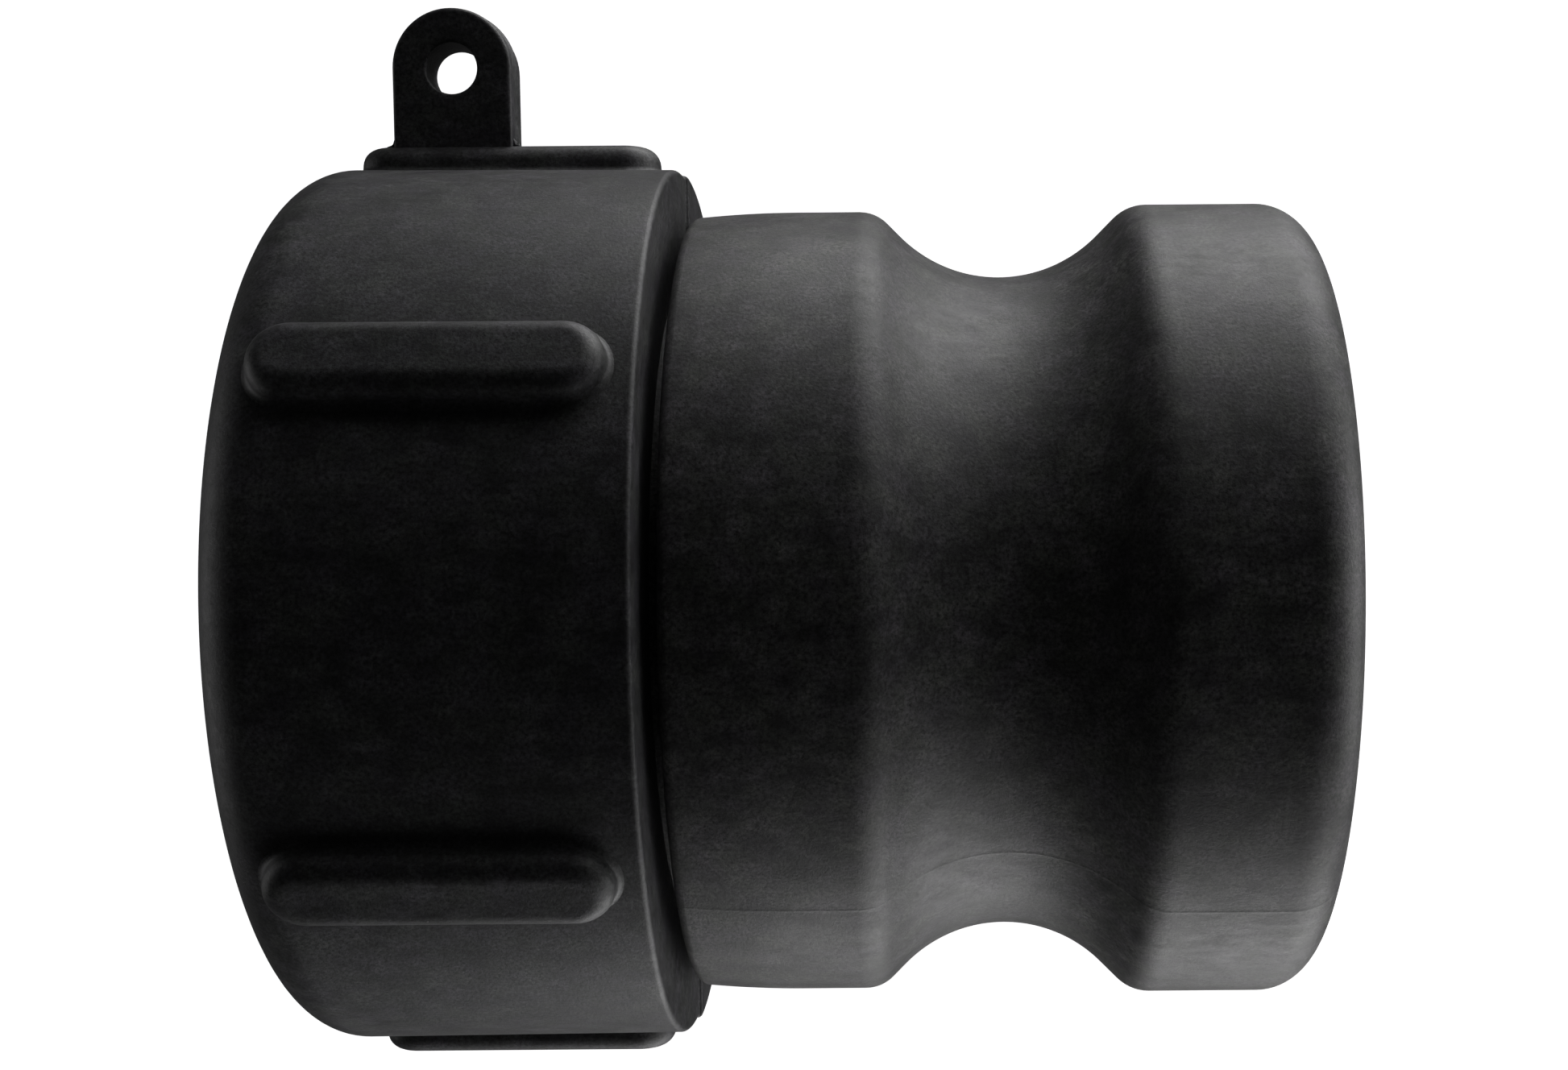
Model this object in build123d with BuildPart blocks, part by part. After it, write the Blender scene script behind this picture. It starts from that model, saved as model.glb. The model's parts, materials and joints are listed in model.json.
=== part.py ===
"""Cam-and-groove adapter for a liquid tank: a grooved plastic spigot and a swivel nut with a coarse thread.

All sizes are millimetres.  The common axis is X: the tank side is at x = 0, in the plane of the nut's mouth,
and the spigot's nose points along +X.  The nut's eye lug points along +Y.  +Z is up, with the coupling
lying on its side.  A radius named ..._r is measured from the X axis, and a place named ..._x along it.
"""

import math
import os

from build123d import *

# ---- swivel nut -----------------------------------------------------------------------------------------
nut_length = 29.4
nut_mouth_r = 34.5  # outside radius at the mouth
nut_back_r = 34.3  # outside radius at the back: the skirt has a little draft
nut_mouth_round = 4.4
nut_back_round = 0.4

thread_pitch = 6.0  # coarse buttress thread, 60 mm across its roots
thread_crest_r = 27.25
thread_root_r = 30.1
thread_length = 15.5
thread_mouth_gap = 3.5  # the groove is this wide at the crests
thread_lead = 5.3  # the helix starts this far outside the mouth
thread_runout = 0.4  # and leaves this much of the last crest whole
load_flank = 3.0  # degrees from square, on the side that carries the pull
back_flank = 30.0
mouth_chamfer = 0.5

chamber_r = 27.7  # room for the gasket and the collar
lip_x = 24.4  # the nut's inward lip runs from here to its back face
lip_bore_r = 25.4

# ---- grip ribs and eye lug ------------------------------------------------------------------------------
rib_count = 6
rib_start_x = 3.3
rib_end_x = 27.4
rib_width = 6.1
rib_crest_r = 36.45
rib_edge_round = 1.5
rib_draft = 4.0
rib_root_r = 32.0  # the ribs are rooted this deep in the skirt

lug_mid_x = 11.05
lug_width = 9.4
lug_eye_r = 2.0
lug_eye_y = 42.5
lug_thickness = 4.0
lug_edge_round = 0.35

# ---- spigot ---------------------------------------------------------------------------------------------
bore_r = 21.5
tail_x = 18.5  # the tail's end face, which the gasket seals on
tail_r = 24.0
neck_x = 24.1  # the neck's small step, where the collar stops
neck_r = 25.1
shoulder_x = 30.2
shoulder_r = 30.6
shoulder_round = 0.8
body_x = 35.0  # from here the body is cylindrical
body_r = 31.0
groove_mid_x = 54.1
groove_floor_r = 25.9
groove_arc_r = 11.0
flank_angle = 45.0
body_edge_round = 3.0
nose_r = 31.4
nose_edge_round = 3.2
nose_end_x = 77.95
nose_end_round = 4.0
mouth_bore_r = 25.0  # the wider bore at the nose
mouth_bore_x = 67.5
flare_x = 63.0
mouth_bore_round = 1.0

# ---- small pieces inside the nut ------------------------------------------------------------------------
collar_gap = 0.05
collar_r = 26.95
collar_edge = 0.3
gasket_thickness = 3.0
gasket_inner_r = 22.0
gasket_outer_r = 26.9
gasket_edge_round = 0.4


def radial_plane(angle, radius):
    """Plane square to a radius of the X axis: its x runs along X, its normal points outwards.

    The angle is in degrees from +Y towards +Z.
    """
    outwards = Vector(0, math.cos(math.radians(angle)), math.sin(math.radians(angle)))
    return Plane(origin=outwards * radius, x_dir=(1, 0, 0), z_dir=outwards)


os.makedirs("parts", exist_ok=True)


# ---- adapter body: nose, cam groove, body, neck and tail in one moulding --------------------------------
flank = math.radians(flank_angle)
groove_centre_r = groove_floor_r + groove_arc_r
tangent_dx = groove_arc_r * math.sin(flank)
tangent_r = groove_centre_r - groove_arc_r * math.cos(flank)
body_edge_x = groove_mid_x - tangent_dx - (body_r - tangent_r) / math.tan(flank)
nose_edge_x = groove_mid_x + tangent_dx + (nose_r - tangent_r) / math.tan(flank)

with BuildPart() as adapter_body:
    with BuildSketch(Plane.XY) as spigot_section:
        with BuildLine():
            Polyline(
                (groove_mid_x - tangent_dx, tangent_r),
                (body_edge_x, body_r),
                (body_x, body_r),
                (shoulder_x, shoulder_r),
                (shoulder_x, neck_r),
                (neck_x, neck_r),
                (neck_x, tail_r),
                (tail_x, tail_r),
                (tail_x, bore_r),
                (flare_x, bore_r),
                (mouth_bore_x, mouth_bore_r),
                (nose_end_x, mouth_bore_r),
                (nose_end_x, nose_r),
                (nose_edge_x, nose_r),
                (groove_mid_x + tangent_dx, tangent_r),
            )
            ThreePointArc(
                (groove_mid_x + tangent_dx, tangent_r),
                (groove_mid_x, groove_floor_r),
                (groove_mid_x - tangent_dx, tangent_r),
            )
        make_face()
        corners = {
            (body_edge_x, body_r): body_edge_round,
            (nose_edge_x, nose_r): nose_edge_round,
            (nose_end_x, nose_r): nose_end_round,
            (nose_end_x, mouth_bore_r): mouth_bore_round,
            (shoulder_x, shoulder_r): shoulder_round,
        }
        for (corner_x, corner_r), corner_round in corners.items():
            corner = spigot_section.vertices().sort_by_distance((corner_x, corner_r, 0))[0]
            fillet(corner, radius=corner_round)
    revolve(axis=Axis.X)

adapter_body.part.label = "adapter_body"
export_step(adapter_body.part, "parts/adapter_body.step")


# ---- swivel nut: skirt, inner lip, thread, grip ribs and eye lug in one moulding ------------------------
thread_depth = thread_root_r - thread_crest_r
load_run = thread_depth * math.tan(math.radians(load_flank))
back_run = thread_depth * math.tan(math.radians(back_flank))
over_crest = 0.5  # the cutting profile reaches this far inside the crests
over_load = over_crest * math.tan(math.radians(load_flank))
over_back = over_crest * math.tan(math.radians(back_flank))

with BuildPart() as swivel_nut:
    with BuildSketch(Plane.XY) as nut_section:
        with BuildLine():
            Polyline(
                (mouth_chamfer, thread_crest_r),
                (0, thread_crest_r + mouth_chamfer),
                (0, nut_mouth_r),
                (nut_length, nut_back_r),
                (nut_length, lip_bore_r),
                (lip_x, lip_bore_r),
                (lip_x, chamber_r),
                (thread_length, chamber_r),
                (thread_length, thread_crest_r),
                close=True,
            )
        make_face()
        mouth_corner = nut_section.vertices().sort_by_distance((0, nut_mouth_r, 0))[0]
        fillet(mouth_corner, radius=nut_mouth_round)
        back_corner = nut_section.vertices().sort_by_distance((nut_length, nut_back_r, 0))[0]
        fillet(back_corner, radius=nut_back_round)
    revolve(axis=Axis.X)

    # the thread's groove: its section is carried along a right-hand helix that starts outside the mouth
    with BuildLine() as thread_path:
        Helix(
            pitch=thread_pitch,
            height=thread_lead + thread_length - thread_mouth_gap - thread_runout,
            radius=thread_crest_r,
            center=(-thread_lead, 0, 0),
            direction=(1, 0, 0),
        )
    start = thread_path.line @ 0
    outwards = Vector(0, start.Y, start.Z).normalized()
    groove_plane = Plane(origin=(start.X, 0, 0), x_dir=(1, 0, 0), z_dir=Vector(1, 0, 0).cross(outwards))
    with BuildSketch(groove_plane):
        Polygon(
            (-over_load, thread_crest_r - over_crest),
            (load_run, thread_root_r),
            (thread_mouth_gap - back_run, thread_root_r),
            (thread_mouth_gap + over_back, thread_crest_r - over_crest),
            align=None,
        )
    sweep(path=thread_path.wire(), is_frenet=True, mode=Mode.SUBTRACT)

    # six ribs with rounded ends, one of them under the lug
    for rib in range(rib_count):
        rib_angle = 360 / rib_count * rib
        with BuildSketch(radial_plane(rib_angle, rib_root_r)):
            with Locations(((rib_start_x + rib_end_x) / 2, 0)):
                SlotOverall(rib_end_x - rib_start_x, rib_width)
        extrude(amount=rib_crest_r - rib_root_r, taper=rib_draft)
        rib_top = radial_plane(rib_angle, rib_crest_r)
        rib_middle = rib_top.origin + Vector((rib_start_x + rib_end_x) / 2, 0, 0)
        crest = swivel_nut.faces().sort_by_distance(rib_middle)[0]
        fillet(crest.edges(), radius=rib_edge_round)

    # the eye lug stands on the +Y rib, with the mould's parting plane through its middle
    with BuildSketch(Plane.XY):
        with BuildLine():
            Line((lug_mid_x - lug_width / 2, rib_crest_r - rib_edge_round), (lug_mid_x - lug_width / 2, lug_eye_y))
            ThreePointArc(
                (lug_mid_x - lug_width / 2, lug_eye_y),
                (lug_mid_x, lug_eye_y + lug_width / 2),
                (lug_mid_x + lug_width / 2, lug_eye_y),
            )
            Polyline(
                (lug_mid_x + lug_width / 2, lug_eye_y),
                (lug_mid_x + lug_width / 2, rib_crest_r - rib_edge_round),
                (lug_mid_x - lug_width / 2, rib_crest_r - rib_edge_round),
            )
        make_face()
    extrude(amount=lug_thickness / 2, both=True)
    for side in (-1, 1):
        lug_face = swivel_nut.faces().sort_by_distance((lug_mid_x, lug_eye_y, side * lug_thickness / 2))[0]
        outline = [edge for edge in lug_face.edges() if edge.center().Y > rib_crest_r]
        fillet(outline, radius=lug_edge_round)
    with BuildSketch(Plane.XY.offset(-lug_thickness)):
        with Locations((lug_mid_x, lug_eye_y)):
            Circle(lug_eye_r)
    extrude(amount=2 * lug_thickness, mode=Mode.SUBTRACT)

swivel_nut.part.label = "swivel_nut"
export_step(swivel_nut.part, "parts/swivel_nut.step")


# ---- retaining collar: fixed on the tail after the nut is on, it carries the nut's pull -----------------
with BuildPart() as retaining_collar:
    with BuildSketch(Plane.XY):
        with Locations(((tail_x + neck_x - collar_gap) / 2, (tail_r + collar_gap + collar_r) / 2)):
            Rectangle(neck_x - collar_gap - tail_x, collar_r - tail_r - collar_gap)
    revolve(axis=Axis.X)
    rims = retaining_collar.edges().filter_by(GeomType.CIRCLE).sort_by(SortBy.RADIUS)[-2:]
    chamfer(rims, length=collar_edge)

retaining_collar.part.label = "retaining_collar"
export_step(retaining_collar.part, "parts/retaining_collar.step")


# ---- gasket: flat rubber ring between the tail and the tank's spout -------------------------------------
with BuildPart() as gasket:
    with BuildSketch(Plane.XY) as gasket_section:
        with Locations((tail_x - gasket_thickness / 2, (gasket_inner_r + gasket_outer_r) / 2)):
            RectangleRounded(gasket_thickness, gasket_outer_r - gasket_inner_r, gasket_edge_round)
    revolve(axis=Axis.X)

gasket.part.label = "gasket"
export_step(gasket.part, "parts/gasket.step")
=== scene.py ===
# %% [markdown]
# # A cam-and-groove tank adapter, surface by surface
#
# The object is a black plastic coupling that joins a hose to a liquid container. It is four pieces: a
# spigot with a deep groove round it, a swivel nut with a coarse thread, a collar that holds the nut on, and
# a rubber gasket. Every one of them is mostly round, so nearly every surface here is a profile carried round
# the X axis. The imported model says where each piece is, and this lesson gives each one its moulded skin.

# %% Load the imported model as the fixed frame
import json
import math

import bmesh
import bpy
import numpy as np
from mathutils import Matrix, Vector


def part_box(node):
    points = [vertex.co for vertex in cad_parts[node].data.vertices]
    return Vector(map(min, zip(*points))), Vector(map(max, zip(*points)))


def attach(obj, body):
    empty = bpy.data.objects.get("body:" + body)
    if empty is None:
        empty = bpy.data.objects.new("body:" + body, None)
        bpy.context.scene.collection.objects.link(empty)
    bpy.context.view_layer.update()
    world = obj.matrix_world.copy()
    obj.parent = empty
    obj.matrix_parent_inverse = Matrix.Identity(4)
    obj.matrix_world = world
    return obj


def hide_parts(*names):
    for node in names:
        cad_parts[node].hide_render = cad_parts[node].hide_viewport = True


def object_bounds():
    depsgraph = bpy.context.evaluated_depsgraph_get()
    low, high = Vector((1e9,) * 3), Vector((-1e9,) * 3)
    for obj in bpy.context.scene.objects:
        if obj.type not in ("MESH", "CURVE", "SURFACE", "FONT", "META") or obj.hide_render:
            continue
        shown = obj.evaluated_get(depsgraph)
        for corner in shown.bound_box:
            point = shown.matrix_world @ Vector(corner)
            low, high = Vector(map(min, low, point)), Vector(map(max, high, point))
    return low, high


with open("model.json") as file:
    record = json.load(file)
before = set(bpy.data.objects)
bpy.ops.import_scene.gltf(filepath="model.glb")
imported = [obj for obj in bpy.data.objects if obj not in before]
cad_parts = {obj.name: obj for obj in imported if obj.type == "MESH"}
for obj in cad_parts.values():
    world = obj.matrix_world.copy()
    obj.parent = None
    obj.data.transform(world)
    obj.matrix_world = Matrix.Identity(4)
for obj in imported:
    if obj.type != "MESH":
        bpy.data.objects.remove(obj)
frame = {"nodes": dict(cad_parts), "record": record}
cad_low, cad_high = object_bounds()
print("CAD box, mm:", [round(v * 1000, 2) for v in (*cad_low, *cad_high)])

# %% [markdown]
# Blender works in metres, and a coupling is easier to think about in millimetres. The shapes below are
# worked out in millimetres and turned into metres at the last moment, when the mesh is made. The main sizes
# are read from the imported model: the boxes of its nodes, and the radii of its mounts.

# %% Read the main sizes from the frame
MM = 0.001


def node_box(node):
    """Lowest and highest corner of a CAD node, in millimetres."""
    low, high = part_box(node)
    return np.array(low) / MM, np.array(high) / MM


mounts = {mount["name"]: mount for mount in frame["record"]["mounts"]}
body_low, body_high = node_box("adapter_body")
nut_low, nut_high = node_box("swivel_nut")

nose_end_x = body_high[0]
tail_x = body_low[0]
nose_r = mounts["camlock_nose"]["dims"]["r_mm"]
bore_r = mounts["flow_bore"]["dims"]["r_mm"]
thread_crest_r = mounts["tank_thread"]["dims"]["r_mm"]
eye_r = mounts["lug_eye"]["dims"]["r_mm"]
eye_x, eye_y = (v / MM for v in mounts["lug_eye"]["pos_m"][:2])
nut_length = nut_high[0]
rib_crest_r = -nut_low[1]
print("radii: nose", nose_r, "bore", bore_r, "thread crests", thread_crest_r,
      "rib crests", round(float(rib_crest_r), 2))

# %% [markdown]
# A turned shape needs an outline. Drawing it by hand as a long list of points would be hard to read and hard
# to change, so an outline here is only its corners, each with the radius of its rounding. One helper swaps
# every corner for a true arc and shares out a few points along the straight runs, close to their ends, so
# that smooth shading stays flat on flat faces and turns only where the plastic does.

# %% Outline helper
ARC_STEP = math.radians(11)
ARC_CHORD = 0.4  # millimetres: no piece of an arc is longer
END_GAP = 0.2  # millimetres from an arc to the first point of the straight run beside it


def rounded_outline(corners, longest_run=2.5):
    """Points of a closed outline whose corners are arcs.

    Each corner is (x, r, rounding). The arc's centre lies on the corner's bisector, rounding / sin(half
    angle) from the corner, and touches both sides rounding / tan(half angle) along them.
    """
    places = np.array([corner[:2] for corner in corners], float)
    to_last = np.roll(places, 1, axis=0) - places
    to_next = np.roll(places, -1, axis=0) - places
    to_last /= np.linalg.norm(to_last, axis=1)[:, None]
    to_next /= np.linalg.norm(to_next, axis=1)[:, None]
    arcs = []
    for place, back, ahead, (_, _, rounding) in zip(places, to_last, to_next, corners):
        half = math.acos(np.clip(back @ ahead, -1, 1)) / 2
        middle = (back + ahead) / np.linalg.norm(back + ahead)
        centre = place + middle * rounding / math.sin(half)
        first = place + back * rounding / math.tan(half) - centre
        turn = math.pi - 2 * half
        side = np.sign(first[0] * middle[1] - first[1] * middle[0])
        count = int(max(turn / ARC_STEP, turn * rounding / ARC_CHORD)) + 2
        steps = np.linspace(0, -turn * side, max(3, count))
        arcs.append(centre + np.stack([
            first[0] * np.cos(steps) - first[1] * np.sin(steps),
            first[0] * np.sin(steps) + first[1] * np.cos(steps),
        ], axis=1))
    points = []
    for arc, following in zip(arcs, arcs[1:] + arcs[:1]):
        run = following[0] - arc[-1]
        length = np.linalg.norm(run)
        count = int(length / longest_run) + 1
        shares = np.linspace(0, 1, count + 1)[1:-1]
        if length > 4 * END_GAP:
            shares = np.concatenate([[END_GAP / length], shares, [1 - END_GAP / length]])
        points += [arc, arc[-1] + run * shares[:, None]]
    return np.concatenate(points)


rounded_square = rounded_outline([(0, 0, 2), (0, 10, 2), (10, 10, 2), (10, 0, 2)])
print("a square of 10 mm with 2 mm roundings takes", len(rounded_square), "points")

# %% [markdown]
# The next helpers are the workshop's lathe and its mesh maker. The lathe takes an outline and a list of
# angles and returns a grid of points. The angles are even, with a few more packed round any thin line that
# runs along the part, such as the mould's parting line, because a thin ridge needs close points to exist.

# %% Lathe
CLOSE_STEPS = np.array([-4, -2, -1, -0.5, 0, 0.5, 1, 2, 4])


def angles_round(count, fine_places=(), fine_width=0.012):
    """Even angles round the circle, in radians from +Y towards +Z, with closer ones about each fine place.

    The closer ones are the place plus the close steps times fine_width; even ones that near are left out.
    """
    even = np.linspace(0, 2 * math.pi, count, endpoint=False)
    close = CLOSE_STEPS * fine_width
    fine = np.concatenate([place + close for place in fine_places]) if len(fine_places) else np.array([])
    for place in fine_places:
        away = np.abs((even - place + math.pi) % (2 * math.pi) - math.pi)
        even = even[away > 4.5 * fine_width]
    return np.unique(np.concatenate([even, fine % (2 * math.pi)]).round(9))


def lathe(outline, angles, lift=None):
    """Grid of points of the outline turned about X: y is r cos(angle), z is r sin(angle).

    lift gives what is added to the radius at each place, from the grids of x, r and angle.
    """
    x = np.broadcast_to(outline[:, 0], (len(angles), len(outline)))
    r = np.broadcast_to(outline[:, 1], x.shape)
    turn = np.broadcast_to(angles[:, None], x.shape)
    if lift is not None:
        r = r + lift(x, r, turn)
    return np.stack([x, r * np.cos(turn), r * np.sin(turn)], axis=2)


print("a lathe grid of that square:", lathe(rounded_square, angles_round(60, (0.0,))).shape)


# %% Mesh maker
def grid_faces(rows, columns, wrap_rows=True, wrap_columns=True):
    """Corner numbers of the four-sided faces between neighbouring rows and columns of a grid.

    The point of row i and column j is number i times columns plus j; a wrapped grid's last meets its first.
    """
    i = np.arange(rows if wrap_rows else rows - 1)[:, None]
    j = np.arange(columns if wrap_columns else columns - 1)[None, :]
    below, beside = (i + 1) % rows, (j + 1) % columns
    corners = [i * columns + j, below * columns + j, below * columns + beside, i * columns + beside]
    return np.stack([np.broadcast_to(c, (i.size, j.size)) for c in corners], axis=2).reshape(-1, 4)


def count_open_edges(mesh):
    """How many edges don't have exactly two faces: each face names its edges, and the names are counted."""
    edge_names = np.empty(len(mesh.loops), np.int32)
    mesh.loops.foreach_get("edge_index", edge_names)
    return int(np.count_nonzero(np.bincount(edge_names, minlength=len(mesh.edges)) != 2))


def make_piece(name, shells, material):
    """One object from closed shells, each (points, faces), points in millimetres.

    Points that coincide are merged, which closes seams and poles, and the normals are made to point out.
    """
    points = np.concatenate([shell_points.reshape(-1, 3) for shell_points, _ in shells]) * MM
    starts = np.cumsum([0] + [shell_points.size // 3 for shell_points, _ in shells])
    faces = np.concatenate([shell_faces + start for (_, shell_faces), start in zip(shells, starts)])
    mesh = bpy.data.meshes.new(name)
    mesh.from_pydata(points, [], faces.tolist())
    shape = bmesh.new()
    shape.from_mesh(mesh)
    bmesh.ops.remove_doubles(shape, verts=shape.verts, dist=0.004 * MM)
    bmesh.ops.dissolve_degenerate(shape, edges=shape.edges, dist=0.002 * MM)
    bmesh.ops.recalc_face_normals(shape, faces=shape.faces)
    shape.to_mesh(mesh)
    shape.free()
    mesh.shade_smooth()
    mesh.materials.append(material)
    piece = bpy.data.objects.new(name, mesh)
    bpy.context.scene.collection.objects.link(piece)
    triangles = len(mesh.loops) - 2 * len(mesh.polygons)
    print(name, "triangles", triangles, "open edges", count_open_edges(mesh))
    return piece


print("faces of a closed 3 by 4 grid:", len(grid_faces(3, 4)), "and of an open one:",
      len(grid_faces(3, 4, False, False)))

# %% [markdown]
# The plastic is black polypropylene, moulded against a lightly blasted steel surface. Up close it isn't one
# black: it is clouded at the scale of a few millimetres, peppered with grain a few tenths of a millimetre
# across, and drawn out along the part where it slid from the mould. An image could hold that, but it would
# need unwrapping and stop at its own resolution. Noise in Object coordinates needs neither, and its scales
# can be read straight off: a scale of 250 is a feature of about four millimetres.

# %% New material and noise
def new_material(name):
    """An empty node material, its tree, its Principled shader and its Object coordinates."""
    material = bpy.data.materials.new(name)
    material.use_nodes = True
    tree = material.node_tree
    tree.nodes.clear()
    output = tree.nodes.new("ShaderNodeOutputMaterial")
    shader = tree.nodes.new("ShaderNodeBsdfPrincipled")
    place = tree.nodes.new("ShaderNodeTexCoord")
    tree.links.new(shader.outputs["BSDF"], output.inputs["Surface"])
    return material, tree, shader, place.outputs["Object"]


def noise(tree, place, scale, detail=2.0, roughness=0.5, stretch=(1, 1, 1)):
    """Noise of the given scale per metre; stretch multiplies the scale along X, Y and Z."""
    mapping = tree.nodes.new("ShaderNodeMapping")
    mapping.inputs["Scale"].default_value = stretch
    texture = tree.nodes.new("ShaderNodeTexNoise")
    texture.inputs["Scale"].default_value = scale
    texture.inputs["Detail"].default_value = detail
    texture.inputs["Roughness"].default_value = roughness
    tree.links.new(place, mapping.inputs["Vector"])
    tree.links.new(mapping.outputs["Vector"], texture.inputs["Vector"])
    return texture.outputs["Fac"]


print("features of noise, mm:", {scale: round(1 / scale / MM, 2) for scale in (250, 1100, 3600)})


# %% Ramp, darken and bump
def ramp(tree, value, low, high, start=0.3, end=0.7):
    """Two colours or greys, blended as value goes from start to end."""
    node = tree.nodes.new("ShaderNodeValToRGB")
    for element, position, shade in zip(node.color_ramp.elements, (start, end), (low, high)):
        element.position = position
        element.color = (*shade, 1) if isinstance(shade, tuple) else (shade, shade, shade, 1)
    tree.links.new(value, node.inputs["Fac"])
    return node.outputs["Color"]


def darken(tree, colour, shade):
    """The colour times the shade, channel by channel; a shade above one makes it paler."""
    node = tree.nodes.new("ShaderNodeMix")
    node.data_type = "RGBA"
    node.blend_type = "MULTIPLY"
    node.inputs["Factor"].default_value = 1.0
    tree.links.new(colour, node.inputs["A"])
    tree.links.new(shade, node.inputs["B"])
    return node.outputs["Result"]


def bump(tree, height, strength, depth, under=None):
    """Bump of that depth in metres, on top of another bump."""
    node = tree.nodes.new("ShaderNodeBump")
    node.inputs["Strength"].default_value = strength
    node.inputs["Distance"].default_value = depth
    tree.links.new(height, node.inputs["Height"])
    if under is not None:
        tree.links.new(under, node.inputs["Normal"])
    return node.outputs["Normal"]


print("node helpers:", [helper.__name__ for helper in (noise, ramp, darken, bump)])

# %% [markdown]
# One recipe serves all the plastic. Clouds set the black, a faint green or purple cast tints it, and streaks
# and grain darken and lighten it. The same streaks and grain also go to roughness and bump, because on real
# plastic the marks that show are the ones that change how light leaves the surface.

# %% Moulded polypropylene
GREEN_CAST, PURPLE_CAST = (0.96, 1.0, 0.93), (1.0, 0.95, 1.06)
GRAIN_DEPTH, PIT_DEPTH = 0.04 * MM, 0.02 * MM


def polypropylene(name, dark, pale, shine, drawn=(0.4, 1, 1)):
    """Matte black plastic: clouds, a faint cast, drawn streaks and grain in colour, roughness and bump."""
    material, tree, shader, place = new_material(name)
    clouds = noise(tree, place, 330, detail=5, roughness=0.65)
    cast = noise(tree, place, 420, detail=2)
    streaks = noise(tree, place, 1100, detail=3, roughness=0.6, stretch=drawn)
    grain = noise(tree, place, 3600, detail=4, roughness=0.75)
    pits = noise(tree, place, 8000, detail=1)
    colour = ramp(tree, clouds, dark, pale, 0.32, 0.68)
    colour = darken(tree, colour, ramp(tree, cast, GREEN_CAST, PURPLE_CAST, 0.35, 0.65))
    colour = darken(tree, colour, ramp(tree, streaks, 0.68, 1.28, 0.32, 0.70))
    colour = darken(tree, colour, ramp(tree, grain, 0.12, 2.0, 0.34, 0.66))
    tree.links.new(colour, shader.inputs["Base Color"])
    tree.links.new(ramp(tree, streaks, shine - 0.05, shine + 0.07), shader.inputs["Roughness"])
    normal = bump(tree, streaks, 0.15, GRAIN_DEPTH)
    normal = bump(tree, grain, 0.6, GRAIN_DEPTH, normal)
    normal = bump(tree, pits, 0.4, PIT_DEPTH, normal)
    tree.links.new(normal, shader.inputs["Normal"])
    shader.inputs["Specular IOR Level"].default_value = 0.4
    return material


spigot_dark, spigot_pale = (0.015, 0.015, 0.015), (0.060, 0.059, 0.058)
spigot_plastic = polypropylene("clouded_spigot_polypropylene", spigot_dark, spigot_pale, 0.52)
nut_plastic = polypropylene("nut_polypropylene", (0.012, 0.012, 0.013), (0.038, 0.038, 0.039), 0.50)
collar_plastic = polypropylene("collar_polypropylene", (0.020, 0.020, 0.021), (0.034, 0.034, 0.035), 0.42)
print("plastics:", spigot_plastic.name, nut_plastic.name, collar_plastic.name)

# %% [markdown]
# The gasket is rubber, which is softer to the eye than the plastic: it has no streaks and no hard grain,
# only a pale bloom in patches, and a fine skin.

# %% Gasket rubber
def rubber(name):
    """Black rubber with a pale bloom in patches and a fine, soft surface."""
    material, tree, shader, place = new_material(name)
    bloom = noise(tree, place, 320, detail=5, roughness=0.7)
    skin = noise(tree, place, 3800, detail=2)
    tree.links.new(ramp(tree, bloom, 0.012, 0.030, 0.45, 0.8), shader.inputs["Base Color"])
    tree.links.new(ramp(tree, bloom, 0.58, 0.74), shader.inputs["Roughness"])
    tree.links.new(bump(tree, skin, 0.25, 0.03 * MM), shader.inputs["Normal"])
    return material


gasket_rubber = rubber("gasket_rubber")
print("rubber:", gasket_rubber.name)

# %% [markdown]
# The spigot is one moulding: tail, neck, shoulder, body, groove and nose. The groove takes the cams of the
# coupler it goes into, and its section is an arc of eleven millimetres' radius with straight flanks at 45
# degrees. An outline with the groove as one corner of that rounding gives exactly the arc and both flanks:
# the two flanks meet in a point under the groove's floor, and the corner's arc touches both.

# %% The spigot's outline
groove_x = mounts["cam_groove"]["pos_m"][0] / MM
groove_floor_r, groove_arc_r = 25.9, 11.0
flank = math.radians(45)
# where the two flanks would meet: the arc's centre less its radius over the cosine of the flank
flanks_meet_r = groove_floor_r + groove_arc_r - groove_arc_r / math.cos(flank)
neck_x, neck_r, tail_r = 24.1, 25.1, 24.0
shoulder_x, shoulder_r = 30.2, 30.6
body_x, body_r = 35.0, 31.0
mouth_bore_r, mouth_bore_x, flare_x = 25.0, 67.5, 63.0
edge = 0.15  # rounding of a moulded edge that is nominally sharp

spigot_outline = rounded_outline([
    (tail_x, tail_r, edge),
    (neck_x, tail_r, edge),
    (neck_x, neck_r, edge),
    (shoulder_x, neck_r, edge),
    (shoulder_x, shoulder_r, 0.8),
    (body_x, body_r, 80.0),
    (groove_x - (body_r - flanks_meet_r) / math.tan(flank), body_r, 3.0),
    (groove_x, flanks_meet_r, groove_arc_r),
    (groove_x + (nose_r - flanks_meet_r) / math.tan(flank), nose_r, 3.2),
    (nose_end_x, nose_r, 4.0),
    (nose_end_x, mouth_bore_r, 1.0),
    (mouth_bore_x, mouth_bore_r, 1.5),
    (flare_x, bore_r, 1.5),
    (tail_x, bore_r, edge),
])
print("spigot outline points", len(spigot_outline), "flanks meet at radius", round(flanks_meet_r, 3))

# %% [markdown]
# The mould opened along a plane through the axis, and left a hair's breadth of plastic where its halves met.
# A ridge that low is made by lifting the turned surface along two lines, not by adding a piece.

# %% The spigot's skin
spigot_part_angle = math.radians(132.1)  # the mould's parting line, from +Y towards +Z
spigot_part_lines = (spigot_part_angle, spigot_part_angle + math.pi)
line_height, line_width = 0.02, 0.12  # millimetres
line_stop = 0.5  # millimetres from the ends of the outside, where the ridge stops


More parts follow.
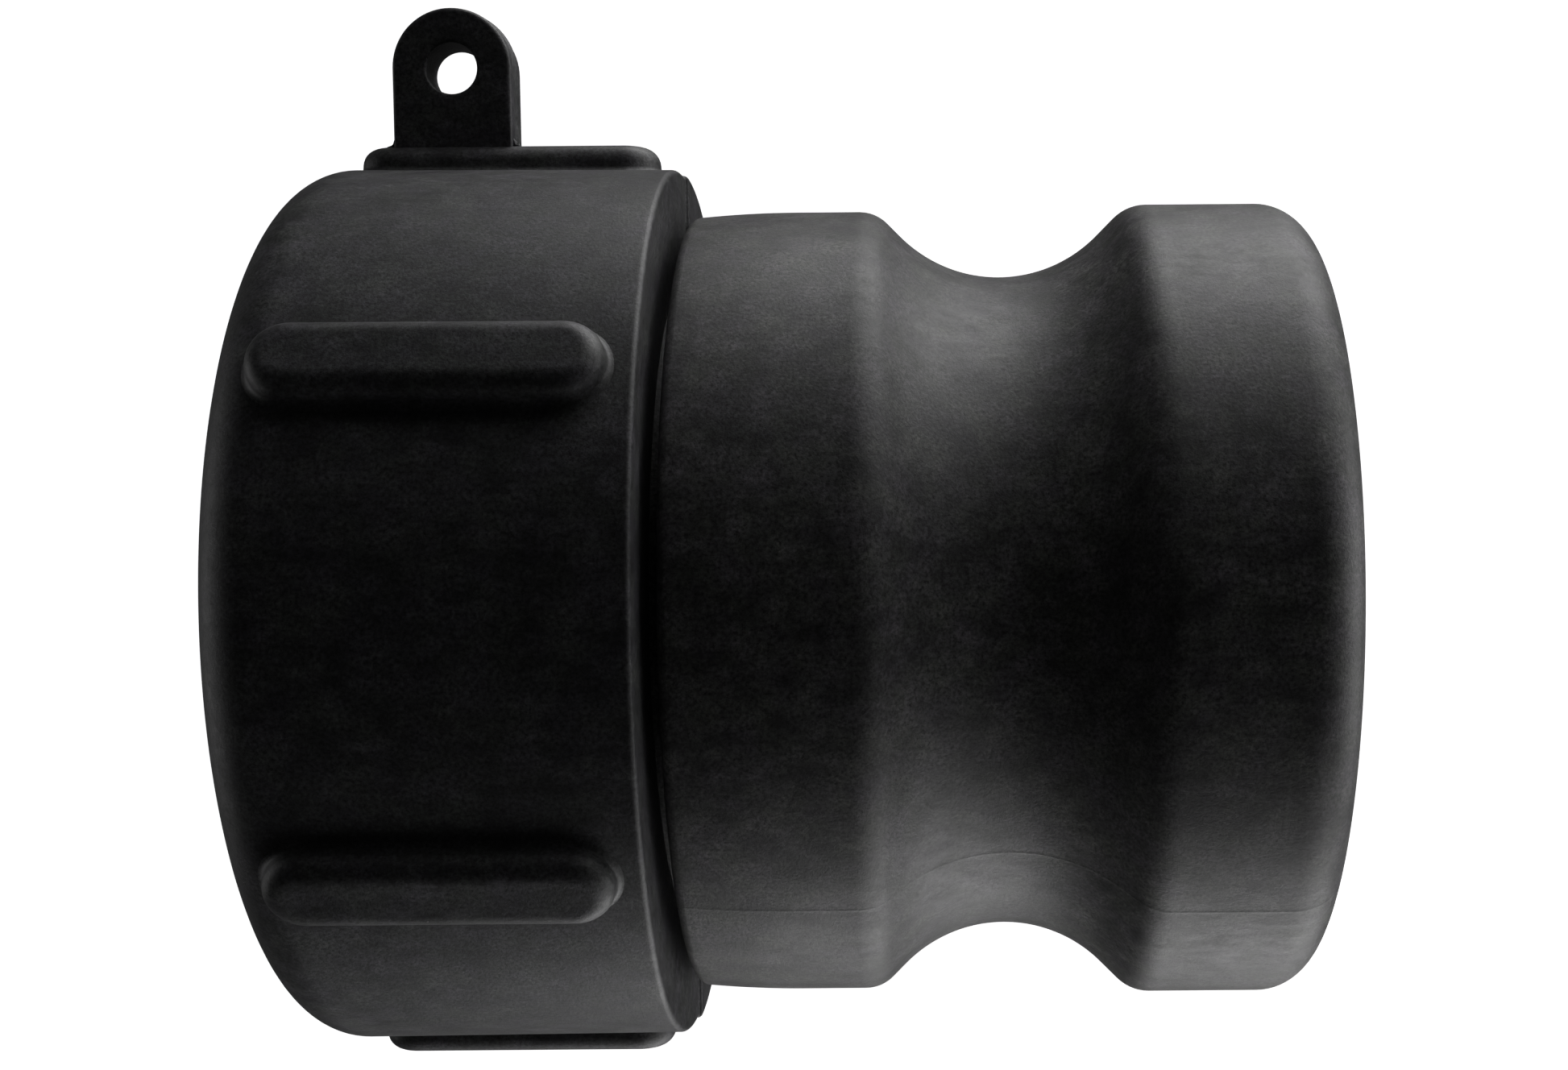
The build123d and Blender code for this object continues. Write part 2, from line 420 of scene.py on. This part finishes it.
def spigot_lift(x, r, angle):
    """A ridge along each parting line, its height falling off as a bell curve of the distance round."""
    lift = np.zeros_like(x)
    for place in spigot_part_lines:
        away = (angle - place + math.pi) % (2 * math.pi) - math.pi
        lift += line_height * np.exp(-((away * r / line_width) ** 2))
    outside = (r > neck_r + line_stop) & (x > shoulder_x + line_stop) & (x < nose_end_x - line_stop)
    return lift * outside


spigot_angles = angles_round(300, spigot_part_lines, fine_width=0.004)
spigot_grid = lathe(spigot_outline, spigot_angles, spigot_lift)
spigot = make_piece("adapter_spigot", [(spigot_grid, grid_faces(*spigot_grid.shape[:2]))], spigot_plastic)
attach(spigot, "adapter")
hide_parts("adapter_body")

# %% [markdown]
# The swivel nut is a plain skirt with a lip that hooks behind the collar. Its outside is turned like the
# spigot, but its inside is a right-hand screw thread, which no lathe of one outline can give. A thread's
# section is the same at every angle once it is slid along by the pitch, so its grid is slid too: each row of
# points follows the helix, and rows that would pass the thread's ends are held at them, where the merge
# makes them one.

# %% The nut's inner thread
pitch = 6.0
thread_end_x = 15.5
thread_depth = 2.85
groove_width = 3.5  # at the crests
load_slope, back_slope = math.tan(math.radians(3)), math.tan(math.radians(30))
first_groove_x, last_groove_x = -5.3, 11.6
groove_fade = 0.5  # millimetres over which the last groove runs out
nut_part_lines = (0.0, math.pi)  # the nut's mould opened along the plane of the lug
nut_angles = angles_round(288, nut_part_lines, fine_width=0.004)
closed_angles = np.append(nut_angles, 2 * math.pi)  # the first angle again, a turn later
# places along one pitch, close together where the section bends
phases = np.array([0, 0.07, 0.15, 0.5, 1.0, 1.5, 1.8, 1.86, 2.3, 2.9, 3.44, 3.5, 3.6, 4.2, 4.9, 5.5, 5.9])
thread_turns = np.arange(-2, 4)


def groove_depth(x, angle):
    """Depth of the thread's groove: the least of both flanks and the root, at the phase along the pitch."""
    along = x - first_groove_x - pitch * angle / (2 * math.pi)
    phase = along % pitch
    groove_start = x - phase
    flanks = np.minimum(phase / load_slope, (groove_width - phase) / back_slope)
    fade = np.clip((last_groove_x - groove_start) / groove_fade, 0, 1)
    return np.clip(flanks, 0, thread_depth) * fade


def thread_grid():
    """Rows of one phase each: x is the row's phase plus pitch times turns, held between the thread's ends."""
    rows = first_groove_x + (thread_turns[:, None] * pitch + phases[None, :]).ravel()
    x = np.clip(rows[None, :] + pitch * closed_angles[:, None] / (2 * math.pi), 0, thread_end_x)
    turn = np.broadcast_to(closed_angles[:, None], x.shape)
    r = thread_crest_r + groove_depth(x, turn)
    return np.stack([x, r * np.cos(turn), r * np.sin(turn)], axis=2)


thread = thread_grid()
deepest_r = np.hypot(thread[..., 1], thread[..., 2]).max()
print("thread grid", thread.shape[:2], "deepest radius", round(float(deepest_r), 2))

# %% [markdown]
# Past the thread the nut is turned again. Its outline is drawn closed, and then only the run that the thread
# doesn't cover is kept: from the mouth's flat face, over the outside, round the lip, to the thread's end.

# %% The nut's skirt, lip and mouth
nut_mouth_r, nut_back_r = 34.5, 34.3
mouth_round = 4.4
mouth_inner_r, mouth_start_r = 29.0, 29.8  # the skirt's run starts on the mouth's face, past its start radius
chamber_r, lip_x, lip_bore_r = 27.7, 24.4, 25.4
under_thread_r = 26.0
rear_step = 0.3  # the half of the nut below the parting plane came out this much longer
step_band = 0.5  # millimetres before the nut's end that move with the step
step_width = 0.15  # millimetres below the parting plane in which the step comes in

skirt_outline = rounded_outline([
    (0, mouth_inner_r, edge),
    (0, nut_mouth_r, mouth_round),
    (nut_length - rear_step, nut_back_r, 0.4),
    (nut_length - rear_step, lip_bore_r, edge),
    (lip_x, lip_bore_r, edge),
    (lip_x, chamber_r, edge),
    (thread_end_x, chamber_r, edge),
    (thread_end_x, under_thread_r, edge),
])
on_mouth = (skirt_outline[:, 0] < 0.001) & (skirt_outline[:, 1] > mouth_start_r)
skirt_run = np.roll(skirt_outline, -int(np.argmax(on_mouth)), axis=0)
# the parts of the closed outline that the thread's grid and the mouth's face cover
in_thread = (skirt_run[:, 1] < thread_crest_r + 0.01) & (skirt_run[:, 0] < thread_end_x + 1)
in_mouth = (skirt_run[:, 1] < mouth_start_r) & (skirt_run[:, 0] < 1)
skirt_run = np.append(skirt_run[~in_thread & ~in_mouth], [[thread_end_x, thread_crest_r]], axis=0)


def skirt_lift(x, r, angle):
    """The skirt's parting line: a bell-shaped ridge either side, on the outside only."""
    away = np.abs((angle + math.pi / 2) % math.pi - math.pi / 2)
    outside = (r > nut_back_r - 0.8) & (x > 2) & (x < nut_length - 1)
    return line_height * np.exp(-((away * r / line_width) ** 2)) * outside


skirt = lathe(skirt_run, closed_angles, skirt_lift)
lower_half = np.clip(-skirt[..., 2] / step_width, 0, 1)
skirt[..., 0] += rear_step * lower_half * (skirt[..., 0] > nut_length - rear_step - step_band)
mouth_inner = thread[:, :1]
mouth_face = mouth_inner + (skirt[:, :1] - mouth_inner) * np.array([0, 0.5, 1])[None, :, None]
nut_shells = [(grid, grid_faces(*grid.shape[:2], False, False)) for grid in (thread, mouth_face, skirt)]
print("skirt points per section", len(skirt_run))

# %% [markdown]
# Six grip ribs stand on the skirt, each a long slot shape with a rounded crest and a small blend at its
# foot. A grid that runs round the slot suits it: each ring of points keeps one distance from the slot's
# middle line, so the edges of the rib lie along rows of the grid and stay crisp. The crest is flat, the
# skirt is round, and the height between them is shared out from one to the other.

# %% A grip rib's section
rib_count = 6
rib_start_x, rib_end_x, rib_width = 3.3, 27.4, 6.1
rib_height = rib_crest_r - nut_back_r
crest_half, foot_half = 2.76, 2.92
apron_half = foot_half + 1.2  # the foot's blend runs out on the skirt before this
buried = 0.5  # millimetres from the skirt down to the rib's closed underside
rib_sink = 0.02  # millimetres that the apron lies under the skirt, so that only one of them shows
end_points, side_points = 25, 13  # points round each end of the slot, and along each side

rib_outline = rounded_outline([
    (-crest_half, rib_height, 1.45),
    (crest_half, rib_height, 1.45),
    (foot_half, 0, 0.5),
    (apron_half, 0, 0.1),
    (apron_half, -1.0, 0.1),
    (-crest_half, -1.0, 0.1),
])
# one half of the section is enough, from beside the crest's middle to just above the outline's floor
rib_section = rib_outline[(rib_outline[:, 0] > 0.05) & (rib_outline[:, 1] > -0.9)]
print("rib section points", len(rib_section), "rib height", round(float(rib_height), 2))


# %% Grip ribs
def skirt_height(x):
    """Radius of the skirt's outside at x: a straight taper less the drop of the mouth's quarter circle."""
    straight = nut_mouth_r + (nut_back_r - nut_mouth_r) * x / nut_length
    short = np.clip(mouth_round - x, 0, None)
    return straight - (mouth_round - np.sqrt(np.clip(mouth_round**2 - short**2, 0, None)))


def rib_shell(angle):
    """A closed rib. Point = middle line + distance times the outward direction round the slot.

    Its height is the skirt's plus the section's share of the way to the flat crest.
    """
    half_turn = np.linspace(-math.pi / 2, math.pi / 2, end_points)
    half_line = (rib_end_x - rib_start_x - rib_width) / 2
    run = np.linspace(-1, 1, side_points + 2)[1:-1] * half_line
    ends, sides = np.full(end_points, half_line), np.full(side_points, math.pi / 2)
    line_x = np.concatenate([ends, -run, -ends, run])[:, None]
    out_angle = np.concatenate([half_turn, sides, half_turn + math.pi, 3 * sides])[:, None]
    away = np.concatenate([[0], rib_section[:, 0], [apron_half, 0]])[None, :]
    height = np.concatenate([[rib_height], rib_section[:, 1], [-buried, -buried]])[None, :]
    share = height / rib_height
    x = (rib_start_x + rib_end_x) / 2 + line_x + away * np.cos(out_angle)
    across = away * np.sin(out_angle)
    ground = np.sqrt(skirt_height(x) ** 2 - across**2)
    up = ground + share * (rib_crest_r - ground) - rib_sink * (height <= 0.001)
    y = up * math.cos(angle) - across * math.sin(angle)
    z = up * math.sin(angle) + across * math.cos(angle)
    return np.stack([x, y, z], axis=2)


for rib in range(rib_count):
    shell = rib_shell(2 * math.pi * rib / rib_count)
    nut_shells.append((shell, grid_faces(*shell.shape[:2], True, False)))
print("ribs", rib_count, "points in each", shell[..., 0].size)

# %% [markdown]
# The eye lug carries a seal wire. It is a flat tongue with a round end, pierced by an eye. Both its outline
# and its eye are loops, so one grid spans them: every row runs from the outline to the eye across the front
# face, through the eye, and back across the rear face. The foot spreads a little where it meets the rib.

# %% The eye lug's sizes
lug_half, lug_thick = 4.7, 4.0
lug_round, eye_round = 0.35, 0.2  # roundings of the tongue's rim and of the eye's
lug_root_r = rib_crest_r - 1.6  # the tongue starts inside the rib
lug_ridge, lug_ridge_half = 0.15, 0.12  # height and half width of the parting ridge along the lug's rim
face_shares = np.array([0.1, 0.4, 0.7, 0.95])  # places of the face's points between its two roundings
foot_spread = 0.6
foot_inside, foot_under = 0.3, 0.4  # how far the foot's blend goes into the tongue and into the rib
print("lug: width", 2 * lug_half, "thickness", lug_thick, "eye radius", eye_r)


# %% The eye lug
def lug_shell():
    """A ring between two loops. Each point is the outline's plus its inset times the way to the eye."""
    outline = rounded_outline([
        (eye_x - lug_half, lug_root_r, 0.1),
        (eye_x - lug_half, eye_y + lug_half, lug_half - 0.01),
        (eye_x + lug_half, eye_y + lug_half, lug_half - 0.01),
        (eye_x + lug_half, lug_root_r, 0.1),
    ], longest_run=0.6)
    outwards = outline - [eye_x, eye_y]
    outwards /= np.linalg.norm(outwards, axis=1)[:, None]
    to_eye = [eye_x, eye_y] + eye_r * outwards - outline
    reach = np.linalg.norm(to_eye, axis=1)[:, None]
    bend = np.linspace(0, math.pi / 2, 5)
    half = lug_thick / 2
    side_in = np.concatenate([[0], lug_round * (1 - np.cos(bend))])
    side_z = np.concatenate([[lug_ridge_half], half - lug_round + lug_round * np.sin(bend)])
    eye_in = eye_round * (1 - np.sin(bend))
    eye_z = half - eye_round + eye_round * np.cos(bend)
    # the front half of the section: insets from the outline, then insets measured back from the eye
    inset = np.concatenate([
        np.broadcast_to(side_in, (len(outline), len(side_in))),
        lug_round + (reach - 2 * lug_round) * face_shares,
        reach - eye_in,
    ], axis=1)
    front_z = np.concatenate([side_z, np.full(len(face_shares), half), eye_z])
    ridge = np.full((len(outline), 1), -lug_ridge)
    inset = np.concatenate([ridge, inset, inset[:, ::-1]], axis=1)
    z = np.concatenate([[0], front_z, -front_z[::-1]])
    flat = outline[:, None, :] + inset[:, :, None] * (to_eye / reach)[:, None, :]
    return np.concatenate([flat, np.broadcast_to(z[None, :, None], (*flat.shape[:2], 1))], axis=2)


def foot_blend(side):
    """A bar along Z whose section is hollow: foot_spread less a quarter circle of that radius each way."""
    bend = np.linspace(0, math.pi / 2, 7)
    hollow = foot_spread * np.stack([1 - np.sin(bend), 1 - np.cos(bend)], axis=1)
    hidden = [[-foot_inside, foot_spread], [-foot_inside, -foot_under], [foot_spread, -foot_under]]
    section = np.concatenate([hollow, hidden])
    middle_point = np.broadcast_to(section.mean(0), section.shape)
    rows = np.stack([middle_point, section, section, middle_point])
    z = np.array([-1, -1, 1, 1]) * (lug_thick / 2 - lug_round)
    x = eye_x + side * (lug_half + rows[..., 0])
    return np.stack([x, rib_crest_r + rows[..., 1], np.broadcast_to(z[:, None], x.shape)], axis=2)


lug = lug_shell()
lug[..., 1] = np.minimum(lug[..., 1], nut_high[1])  # the ridge stays inside the CAD model's box
nut_shells.append((lug, grid_faces(*lug.shape[:2])))
for side in (-1, 1):
    blend_bar = foot_blend(side)
    nut_shells.append((blend_bar, grid_faces(*blend_bar.shape[:2], False, True)))
nut = make_piece("swivel_nut_moulding", nut_shells, nut_plastic)
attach(nut, "nut")
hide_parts("swivel_nut")

# %% [markdown]
# The last two pieces hide inside the nut and show only through its mouth: the collar that was fixed on the
# tail after the nut went on, and the gasket that seals against the container's spout. Both are plain rings.

# %% Collar and gasket
def ring(name, node, rounding, material, body):
    """A turned ring in place of a CAD node: four corners with the same rounding.

    The node's box gives its ends and outer radius, and the least distance of its points from X the inner.
    """
    low, high = node_box(node)
    mesh = frame["nodes"][node].data
    numbers = np.empty(3 * len(mesh.vertices), np.float32)
    mesh.vertices.foreach_get("co", numbers)
    places = numbers.reshape(-1, 3).astype(float) / MM
    inner = float(np.hypot(places[:, 1], places[:, 2]).min())
    outline = rounded_outline([
        (low[0], inner, rounding),
        (low[0], high[1], rounding),
        (high[0], high[1], rounding),
        (high[0], inner, rounding),
    ], longest_run=1.0)
    grid = lathe(outline, angles_round(240))
    piece = make_piece(name, [(grid, grid_faces(*grid.shape[:2]))], material)
    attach(piece, body)
    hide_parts(node)


ring("collar_ring", "retaining_collar", 0.3, collar_plastic, "adapter")
ring("gasket_ring", "gasket", 0.4, gasket_rubber, "adapter")

# %% [markdown]
# The stage is a plain pale floor that the coupling lies on, and it curves up far away into a dome, so that
# no edge of it shows. It is there for the eye alone: it glows, and neither lights the coupling nor stops the
# light of the boxes below it.

# %% Floor
cove_radius = 4.0  # metres
wall_points, cove_sides = 24, 96


def cove_mesh(floor_z):
    """A profile turned about Z: flat from the middle to the radius, then a quarter circle up to the top."""
    rise = np.linspace(0, math.pi / 2, wall_points)
    flat_shares = [0, 0.25, 0.5, 0.75]
    out = cove_radius * np.concatenate([flat_shares, np.cos(rise)])
    height = floor_z + cove_radius * np.concatenate([np.zeros(len(flat_shares)), np.sin(rise)])
    turn = np.linspace(0, 2 * math.pi, cove_sides, endpoint=False)[:, None]
    z = np.broadcast_to(height, (cove_sides, out.size))
    points = np.stack([out * np.cos(turn), out * np.sin(turn), z], axis=2)
    mesh = bpy.data.meshes.new("floor")
    mesh.from_pydata(points.reshape(-1, 3), [], grid_faces(cove_sides, out.size, True, False).tolist())
    mesh.shade_smooth()
    return mesh


floor = bpy.data.objects.new("floor", cove_mesh(cad_low.z))
bpy.context.scene.collection.objects.link(floor)
floor_material, floor_tree, floor_shader, floor_place = new_material("pale_floor")
floor_shade = ramp(floor_tree, noise(floor_tree, floor_place, 3), 0.80, 0.84)
floor_tree.links.new(floor_shade, floor_shader.inputs["Base Color"])
floor_shader.inputs["Roughness"].default_value = 0.9
floor_shader.inputs["Emission Color"].default_value = (1, 1, 1, 1)
floor_shader.inputs["Emission Strength"].default_value = 1.0
floor.data.materials.append(floor_material)
floor.visible_glossy = False
floor.visible_diffuse = False
floor.visible_shadow = False
print("floor at z, mm:", round(cad_low.z / MM, 2), "faces", len(floor.data.polygons))

# %% [markdown]
# Black plastic shows its form by what it mirrors, so the light comes from long soft boxes, a high one and a
# low one along each side and one at each end, and the room above stays dim: the sides turn grey, the top
# stays black, and the groove catches a soft patch from each side.

# %% Lights and room
middle = (cad_low + cad_high) / 2
sky_low, sky_high = 0.06, 0.02  # the room's brightness level with the floor, and above


def soft_box(name, place, width, height, watts):
    """A rectangular area light at place, facing the middle of the coupling."""
    lamp = bpy.data.lights.new(name, "AREA")
    lamp.shape = "RECTANGLE"
    lamp.size, lamp.size_y = width, height
    lamp.energy = watts
    box = bpy.data.objects.new(name, lamp)
    box.location = place
    box.rotation_euler = (middle - Vector(place)).to_track_quat("-Z", "Y").to_euler()
    box.visible_camera = False
    bpy.context.scene.collection.objects.link(box)


for side, y_sign, share in (("lug_side", 1, 1.0), ("far_side", -1, 0.85)):
    soft_box(f"high_box_{side}", (middle.x + 0.15, y_sign * 0.30, 0.045), 0.34, 0.20, 0.44 * share)
    soft_box(f"low_box_{side}", (middle.x + 0.10, y_sign * 0.25, -0.085), 0.30, 0.12, 0.60 * share)
soft_box("box_mouth_end", (-0.30, 0.0, -0.03), 0.30, 0.12, 0.15)
soft_box("box_nose_end", (0.38, 0.0, -0.03), 0.30, 0.12, 0.55)

room = bpy.data.worlds.new("dim_room")
room.use_nodes = True
bpy.context.scene.world = room
sky = room.node_tree
direction = sky.nodes.new("ShaderNodeTexCoord")
parts = sky.nodes.new("ShaderNodeSeparateXYZ")
sky.links.new(direction.outputs["Generated"], parts.inputs["Vector"])
sky_shade = ramp(sky, parts.outputs["Z"], sky_low, sky_high, 0.0, 0.6)
sky.links.new(sky_shade, sky.nodes["Background"].inputs["Color"])
bpy.context.scene.view_settings.view_transform = "Standard"

# %% [markdown]
# The camera looks down on the coupling from close by, leaning a few degrees towards the lug, with a slight
# roll. Its own back, right and up directions are worked out from those two angles.

# %% Camera
camera_place = Vector((0.04836, 0.00778, 0.16495))
lean, roll = math.radians(4.4), 0.0079
back = Vector((0, math.sin(lean), math.cos(lean)))
flat_right = Vector((1, 0, 0))
flat_up = back.cross(flat_right)
right = flat_right * math.cos(roll) - flat_up * math.sin(roll)
up = back.cross(right)
camera_turn = Matrix((right, up, back)).transposed().to_4x4()
lens_data = bpy.data.cameras.new("camera")
lens_data.sensor_width = 36.0
lens_data.lens = 46.56
lens_data.shift_x, lens_data.shift_y = -0.0926, 0.0809
lens_data.clip_start, lens_data.clip_end = 0.005, 20
camera = bpy.data.objects.new("camera", lens_data)
camera.matrix_world = Matrix.Translation(camera_place) @ camera_turn
bpy.context.scene.collection.objects.link(camera)
bpy.context.scene.camera = camera
print("camera at", [round(v, 4) for v in camera.location])
